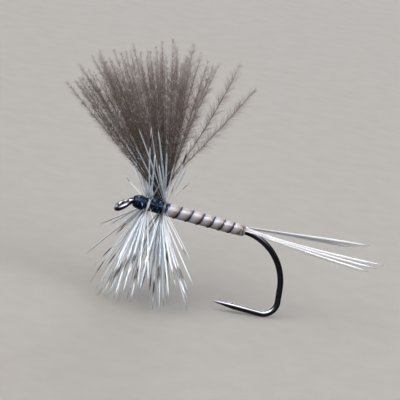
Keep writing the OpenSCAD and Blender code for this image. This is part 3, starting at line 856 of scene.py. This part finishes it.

# %% [markdown]
# ## Hackle
#
# A hackle is a cock feather wound round the thorax on its edge, so that its barbs stand out all round like
# the spokes of a wheel. The fly stands on their tips. The barbs are white, dark where they meet the stem,
# and half of them have a dark bar about half way. That dark foot is partly the web's own colour and partly
# painted shade among the crowded roots, and some plain barbs are painted a cool blue-grey for shade and
# reflected sky. One feather is wound in front of the wing and one behind it, and the top stays bare for the
# wing. The stem is a coil of two turns. The barbs are fibres that start on it where the CAD model has one,
# and none goes through the floor.

# %% Barred hackle
barred, tree, shader = new_finish(
    "barred_cock_hackle", Roughness=0.32, Specular_IOR_Level=0.55, Subsurface_Weight=0.15,
    Subsurface_Radius=(0.0002, 0.0002, 0.0002), Sheen_Weight=0.1,
)
# keratin: glossy and white. Half of the barbs are barred, each at a place of its own. The others are plain,
# and some of them are painted a cool blue-grey, which stands for shade and the reflected sky
BARRED_SHARE, BAR_SHIFT, COOL_SHADE_FROM = 0.5, 0.2, 0.6
step = add_node(tree, "ShaderNodeAttribute", {}, attribute_name="along")
own = add_node(tree, "ShaderNodeAttribute", {}, attribute_name="strand")
shift = add_node(
    tree, "ShaderNodeMapRange", {"Value": own.outputs["Fac"], "To Min": -BAR_SHIFT, "To Max": BAR_SHIFT}
)
where = add_node(tree, "ShaderNodeMath", {0: step.outputs["Fac"], 1: shift.outputs[0]}, operation="ADD")
bars = add_node(
    tree, "ShaderNodeValToRGB", {0: where.outputs[0]},
    ramp=((0.0, "#EEF4FB"), (0.46, "#F4F8FD"), (0.51, "#4A413A"), (0.59, "#221D1A"),
          (0.64, "#C8C8CA"), (0.68, "#F0F5FB"), (1.0, "#DDE7F1")),
)
plain = add_node(
    tree, "ShaderNodeValToRGB", {0: step.outputs["Fac"]},
    ramp=((0.0, "#F4F9FF"), (0.55, "#F6FAFF"), (1.0, "#DDE7F1")),
)
# painted shade: plain barbs with a high strand number turn cool blue-grey
cool_shade = add_node(
    tree, "ShaderNodeMapRange",
    {"Value": own.outputs["Fac"], "From Min": COOL_SHADE_FROM, "From Max": 1, "To Max": 0.8},
)
shade_tinted = add_node(
    tree, "ShaderNodeMix", {"Factor": cool_shade.outputs[0], 6: plain.outputs[0], 7: linear("#C3D5E6")},
    data_type="RGBA",
)
some = add_node(tree, "ShaderNodeMath", {0: own.outputs["Fac"], 1: BARRED_SHARE}, operation="GREATER_THAN")
mixed = add_node(
    tree, "ShaderNodeMix", {"Factor": some.outputs[0], 6: bars.outputs[0], 7: shade_tinted.outputs[2]},
    data_type="RGBA",
)
# the web next to the stem is dark, and this darkening also paints the shade among the crowded roots
web_and_root_shade = add_node(tree, "ShaderNodeMapRange", {"Value": step.outputs["Fac"], "From Min": 0.015, "From Max": 0.1})
rooted = add_node(
    tree, "ShaderNodeMix", {"Factor": web_and_root_shade.outputs[0], 6: linear("#2B2725"), 7: mixed.outputs[2]},
    data_type="RGBA",
)
tree.links.new(rooted.outputs[2], shader.inputs["Base Color"])
print("finish:", barred.name)

# %% Places of the barbs
HACKLE_L, HACKLE_BARE, LEAST_DROP, TIP_CLEAR = 7.3, 21, -0.2, 0.02
AROUND, ROWS, TWIST = 20, 4, 12
STEM_W, STEM_GAP, STEM_THICK = 0.22, 0.012, 0.09
STEM_IN_R = (THORAX_R + STEM_GAP) / math.cos(math.pi / AROUND)
STEM_OUT_R = STEM_IN_R + STEM_THICK
# how low the near barbs part, as a share of the way from top to bottom, how widely, and by how many degrees
PARTING, PARTING_WIDTH, PARTING_TURN = 0.33, 0.12, 18


def lift(spots):
    """Height of points on the bench once the fly is tipped into its stance."""
    return spots[..., 2] * math.cos(PITCH) - spots[..., 0] * math.sin(PITCH)


FLOOR_LIFT = cad_low.z * 1000 + lift(np.array(EYE))


def scatter(number):
    """The CAD model's own scatter from -0.5 to 0.5, so that each barb starts where its solid has one."""
    value = np.sin(np.radians(number * 127.13 + 31.7)) * 4375.85
    return value - np.floor(value) - 0.5


def barb_places(start, under, over, crown, sweep, seed):
    """Roots, directions and lengths of the barbs of a wound feather that begins at start.

    under and over are the leans of its foremost and rearmost barbs below and above the shank, in degrees
    from upright; forward is negative. The stem has cells in rows, with up to two barbs each, and crown says
    how thick the barbs stand above the shank. Each use of the scatter has its own offset. The root of the
    wing brushes the barbs next to it forward, by sweep, and the near ones part and leave the thorax bare.
    Returned as well: how low each barb points, from 0 to 1, and whether the wing squeezes its foot.
    """
    row, cell, second = (g.ravel() for g in np.meshgrid(range(ROWS), range(AROUND), range(2), indexing="ij"))
    number = seed + row * AROUND + cell + 400 * second
    angle = 360 * (cell + 1.2 - 0.4 * second + 0.3 * scatter(number)) / AROUND
    angle += TWIST * ((row + 0.5) / ROWS - 0.5)
    below = -np.cos(np.radians(angle))
    chance = np.where(second, np.maximum(-crown * below, below) ** 3, 0.25 + 0.75 * np.abs(below) ** 1.5)
    from_top = np.abs((angle + 180) % 360 - 180)
    kept = (scatter(number + 40) + 0.5 < chance) & (from_top >= HACKLE_BARE)
    row, cell, second, number, angle, below = (v[kept] for v in (row, cell, second, number, angle, below))

    low = (1 + below) / 2
    foremost = over[0] + (under[0] - over[0]) * low
    rearmost = over[1] + (under[1] - over[1]) * low
    place = 2 * (row + 0.35 + 0.3 * second + 0.4 * scatter(number + 300)) / ROWS - 1
    place = 0.5 + 0.5 * np.sign(place) * np.abs(place) ** 1.5
    crowded = np.clip(1 - 2.4 * low, 0, 1)
    brushed = sweep * crowded * (1 + 0.8 * scatter(number + 500))
    lean = np.radians(foremost + (rearmost - foremost) * place - brushed)
    apart = (low - PARTING) / PARTING_WIDTH
    parted = PARTING_TURN * apart * np.exp((1 - apart * apart) / 2)
    angle = np.radians(angle)
    angle -= np.where(np.sin(angle) < 0, np.radians(parted), 0)
    aim = np.c_[np.sin(lean), np.cos(lean) * np.sin(angle), np.cos(lean) * np.cos(angle)]
    squeezed = (crown * crowded > 0) & (np.sin(angle) < 0)

    along_stem = (row + 0.33 + 0.34 * second) / ROWS
    seat = np.radians(360 * (cell + 1.17 - 0.34 * second) / AROUND + TWIST * (along_stem - 0.5))
    root = np.c_[start + STEM_W * along_stem, STEM_OUT_R * np.sin(seat), STEM_OUT_R * np.cos(seat)]
    short = 0.14 + 0.2 * (1 - low) + 0.45 * (scatter(number + 1200) < -0.15)
    reach = HACKLE_L * (1 - short * (0.5 + scatter(number + 800))) - STEM_OUT_R
    drop = np.minimum(lift(aim), LEAST_DROP)
    to_floor = (FLOOR_LIFT + TIP_CLEAR - lift(root)) / drop
    long = np.where(drop < LEAST_DROP, np.minimum(reach, to_floor), reach)
    return root, aim, long, low, squeezed


print("the floor lies", round(-FLOOR_LIFT, 2), "mm under the front of the shank")

# %% Hackles
STEM_TURNS, STEM_R, STEM_MIDDLE, BARB_BOW = 2, 0.055, 0.04, 0.1


def hackle(name, start, under, over, crown, sweep, pale, seed):
    """A wound feather: bowed barbs, and a stem whose tone is pale, as a place along a barb."""
    root, aim, long, low, squeezed = barb_places(start, under, over, crown, sweep, seed)
    rng = np.random.default_rng(seed)
    count = len(long)
    steps = np.linspace(0, 1, 9)
    sway = unit(np.cross(aim, rng.normal(0, 1, (count, 3))))[:, None]
    bow = rng.uniform(-BARB_BOW, BARB_BOW, (count, 1, 1)) * (steps ** 2 - steps)[None, :, None]
    paths = root[:, None] + long[:, None, None] * (aim[:, None] * steps[None, :, None] + sway * bow)
    # lance-shaped barbs, finer where they stand out sideways, and thin at the foot beside the wing
    thick = np.interp(steps, (0, 0.1, 0.3, 0.6, 0.85, 1), (0.03, 0.062, 0.096, 0.085, 0.066, 0.01))
    thick = thick * rng.uniform(0.65, 1.25, (count, 1))
    thick *= np.interp(low, (0, 0.15, 0.25, 0.45, 0.6, 0.85), (0.95, 0.8, 0.3, 0.3, 0.6, 1))[:, None]
    thick *= np.where(squeezed[:, None], np.interp(steps, (0, 0.3, 0.5), (0.3, 0.3, 0.9)), 1)
    shares = steps[None] * long[:, None] / (HACKLE_L - STEM_OUT_R)
    barbs = fibres(name, paths, thick, 6, shares, rng.uniform(0, 1, count), flat=0.7)

    def stem_shape(x, out):
        return start + (x + 0.5) * STEM_W / (STEM_TURNS + 1), STEM_IN_R + STEM_MIDDLE + out

    stem = close_up(coil(name + "_stem", round_section(10, STEM_R), STEM_TURNS, 32, stem_shape))
    tones = stem.data.attributes.new("along", "FLOAT", "POINT").data
    tones.foreach_set("value", np.full(len(tones), pale, np.float32))
    pick(barbs, stem)
    bpy.ops.object.join()
    print(name, "has", count, "barbs")
    return barbs


front = hackle(
    "hackle_front_barbs", start=0.864, under=(-22, 8), over=(-1, 4), crown=0, sweep=28, pale=0.3, seed=66
)
take_off_bench(front, "fly", "hackle", barred, "hackle_front")
# its stem takes the dark tone next to the web, which paints shade there
rear = hackle(
    "hackle_rear_barbs", start=1.956, under=(-8, 40), over=(-32, 8), crown=1, sweep=18, pale=0.03, seed=425
)
take_off_bench(rear, "fly", "hackle", barred, "hackle_rear")

# %% [markdown]
# ## Wing
#
# The wing is four plumes of soft duck down, tied in by their stems and brushed upright into a fan. A down
# barb is a thin brown shaft with long fine barbules on both sides. They trap air and make the wing look
# like smoke: dark and dense at the root, brown in the middle and silvery at the tips. Every barb starts in
# the bundle, follows its lean for a short way, and then bends to its own place in the fan.

# %% Down
down, tree, shader = new_finish(
    "brown_duck_down", Roughness=0.55, Specular_IOR_Level=0.4, Sheen_Weight=0.2, Sheen_Roughness=0.4
)
# fine keratin hairs, each with its own tone: nearly black at the root, brown, and silver at the tip. The
# lightest few carry a painted silver glint
step = add_node(tree, "ShaderNodeAttribute", {}, attribute_name="along")
own = add_node(tree, "ShaderNodeAttribute", {}, attribute_name="strand")
tone = add_node(
    tree, "ShaderNodeValToRGB", {0: step.outputs["Fac"]},
    ramp=((0.0, "#1A120E"), (0.1, "#2A1F18"), (0.3, "#68554B"), (0.6, "#7E6B61"), (0.88, "#8D7D73"),
          (0.96, "#ADA199"), (1.0, "#D5CEC8")),
)
light = add_node(tree, "ShaderNodeMapRange", {"Value": own.outputs["Fac"], "To Min": 0.5, "To Max": 1.3})
shade = add_node(
    tree, "ShaderNodeMix", {"Factor": 1.0, 6: tone.outputs[0], 7: light.outputs[0]},
    data_type="RGBA", blend_type="MULTIPLY",
)
# painted highlight: hairs with the highest strand numbers are mixed towards silver as glints
glint = add_node(tree, "ShaderNodeMapRange", {"Value": own.outputs["Fac"], "From Min": 0.88, "To Max": 0.9})
painted_glints = add_node(
    tree, "ShaderNodeMix", {"Factor": glint.outputs[0], 6: shade.outputs[2], 7: linear("#C9D2DB")},
    data_type="RGBA",
)
tree.links.new(painted_glints.outputs[2], shader.inputs["Base Color"])
print("finish:", down.name)

# %% Barbs of a plume
WING_L, ROOT_SINK, STRAY = 10.5, 0.1, 5


def barb_paths(rng, part, leans, sides, count, crowd, bundle):
    """Paths of the barbs that start in part of the wing's root and fill part of its fan.

    leans and sides are the ends of that part of the fan, in degrees from upright; a crowd above 1 draws the
    barbs forward in it. bundle holds the lean of the root at the front and at the rear, and likewise the
    length after which a barb has bent into the fan. Returned as well: the steps and the directions.
    """
    u = (rng.permutation(count) + rng.uniform(0.1, 0.9, count)) / count
    early, bend_to = (ahead + (behind - ahead) * u[:, None] for ahead, behind in bundle)
    bend_from = 0.2 * bend_to
    v = rng.uniform(0, 1, count)
    low, high = np.array(part) * ROOT_R
    root = np.c_[
        WING_X + low[0] + (high[0] - low[0]) * u,
        low[1] + (high[1] - low[1]) * v,
        np.full(count, HINGE_Z - ROOT_SINK),
    ]
    long = WING_L * rng.uniform(0.9, 1.03, (count, 1))
    # the free part leans a little more, so that its tip lies where the whole barb's would
    bundled = (bend_from + bend_to) / 2
    lean = (leans[0] + (leans[1] - leans[0]) * u ** crowd)[:, None]
    lean = (lean * long - early * bundled) / (long - bundled)
    side = (sides[0] + (sides[1] - sides[0]) * v)[:, None] * long / (long - bundled)
    steps = np.linspace(0, 1, 16) ** 1.3
    turned = np.clip(((steps[1:] + steps[:-1]) / 2 * long - bend_from) / (bend_to - bend_from), 0, 1)
    turned = turned * turned * (3 - 2 * turned)
    stray = rng.normal(0, STRAY, (count, 1)) * (steps[1:] - 0.5)
    lean = np.radians(early + (lean - early) * turned + stray * turned)
    side = np.radians(side * turned)
    aim = np.stack((np.sin(lean) * np.cos(side), np.sin(side), np.cos(lean) * np.cos(side)), axis=2)
    run = np.cumsum(aim * (np.diff(steps) * long)[:, :, None], axis=1)
    paths = root[:, None] + np.concatenate((np.zeros((count, 1, 3)), run), axis=1)
    return paths, steps, aim


print("down barbs are up to", round(WING_L * 1.03, 1), "mm long")

# %% Plumes
# hairs on a barb, and their radius at the foot
BARBULES, BARBULE_R = 560, 0.0085


def barbules(name, rng, paths, steps, aim, fluff):
    """Fine hairs on both sides of every barb, longest in the middle; fluff makes all of them longer."""
    count = len(paths)
    t = 0.04 + 0.95 * rng.uniform(0, 1, (count, BARBULES)) ** 0.75
    cell = np.searchsorted(steps, t) - 1
    share = ((t - steps[cell]) / (steps[cell + 1] - steps[cell]))[:, :, None]
    rows = np.arange(count)[:, None]
    foot = paths[rows, cell] * (1 - share) + paths[rows, cell + 1] * share
    shaft = aim[rows, cell]
    flank = unit(np.cross(np.broadcast_to((0, 1.0, 0), shaft.shape), shaft))
    rise = np.cross(shaft, flank)
    turn = rng.integers(0, 2, (count, BARBULES, 1)) * np.pi + rng.normal(0, 0.7, (count, BARBULES, 1))
    slope = np.radians(rng.uniform(25, 65, (count, BARBULES, 1)))
    point = np.cos(slope) * shaft + np.sin(slope) * (np.cos(turn) * flank + np.sin(turn) * rise)
    hair = np.interp(t, (0, 0.1, 0.2, 0.45, 0.7, 0.9, 1), (0.22, 0.33, 0.25, 0.66, 0.6, 0.42, 0.2))
    hair = fluff * hair[:, :, None] * rng.uniform(0.6, 1.2, (count, BARBULES, 1))
    hairs = np.stack((foot, foot + hair * point), axis=2).reshape(-1, 2, 3)
    fine = np.broadcast_to((BARBULE_R, 0), (count * BARBULES, 2))
    # a barbule is a little paler than its shaft, but never as pale as the tip
    tones = np.repeat(np.minimum(t.reshape(-1, 1) + 0.06, 0.97), 2, axis=1)
    return fibres(name, hairs, fine, 3, tones, rng.uniform(0.2, 1, count * BARBULES))


def plume(name, part, leans, sides, count, crowd, bundle, seed, fluff=1.0):
    """A plume: count shafts, and the barbules on them."""
    rng = np.random.default_rng(seed)
    paths, steps, aim = barb_paths(rng, part, leans, sides, count, crowd, bundle)
    shares = np.repeat(steps[None], count, axis=0)
    thick = np.interp(shares, (0, 0.08, 0.2, 0.7, 1), (0.032, 0.023, 0.02, 0.018, 0.009))
    thick = thick * rng.uniform(0.8, 1.2, (count, 1))
    shafts = fibres(name, paths, thick, 5, shares, rng.uniform(0, 0.25, count))
    pick(shafts, barbules(name + "_barbules", rng, paths, steps, aim, fluff))
    bpy.ops.object.join()
    return shafts


MIDDLE_BUNDLE = (-12, 9), (1.4, 2.6)
fore = plume(
    "plume_fore_down", part=((-0.89, -0.43), (-0.36, 0.43)), leans=(-55, -38), sides=(-11, 11),
    count=14, crowd=0.75, bundle=((-26, -14), (0.9, 1.5)), seed=21,
)
take_off_bench(fore, "wing", "plume", down, "plume_fore")
near = plume(
    "plume_near_down", part=((-0.3, -0.82), (0.3, -0.06)), leans=(-40, -8), sides=(-14, -1),
    count=20, crowd=1.0, bundle=MIDDLE_BUNDLE, seed=22,
)
take_off_bench(near, "wing", "plume", down, "plume_near")
far = plume(
    "plume_far_down", part=((-0.3, 0.06), (0.3, 0.82)), leans=(-40, -8), sides=(1, 14),
    count=20, crowd=1.0, bundle=MIDDLE_BUNDLE, seed=23,
)
take_off_bench(far, "wing", "plume", down, "plume_far")
# the aft plume is sparse, and its few rearmost barbs stand alone
aft = plume(
    "plume_aft_down", part=((0.36, -0.43), (0.89, 0.43)), leans=(-7, 26), sides=(-11, 11),
    count=11, crowd=3.0, bundle=((9, 9), (2.2, 2.6)), seed=24, fluff=1.5,
)
take_off_bench(aft, "wing", "plume", down, "plume_aft")

# %% [markdown]
# ## Size and finish
#
# The visual model has to stay in the CAD model's box, so both boxes are written down for comparison.

# %% Sizes
low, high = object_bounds()
print("visual box, mm:", [round(v * 1000, 2) for v in (*low, *high)])
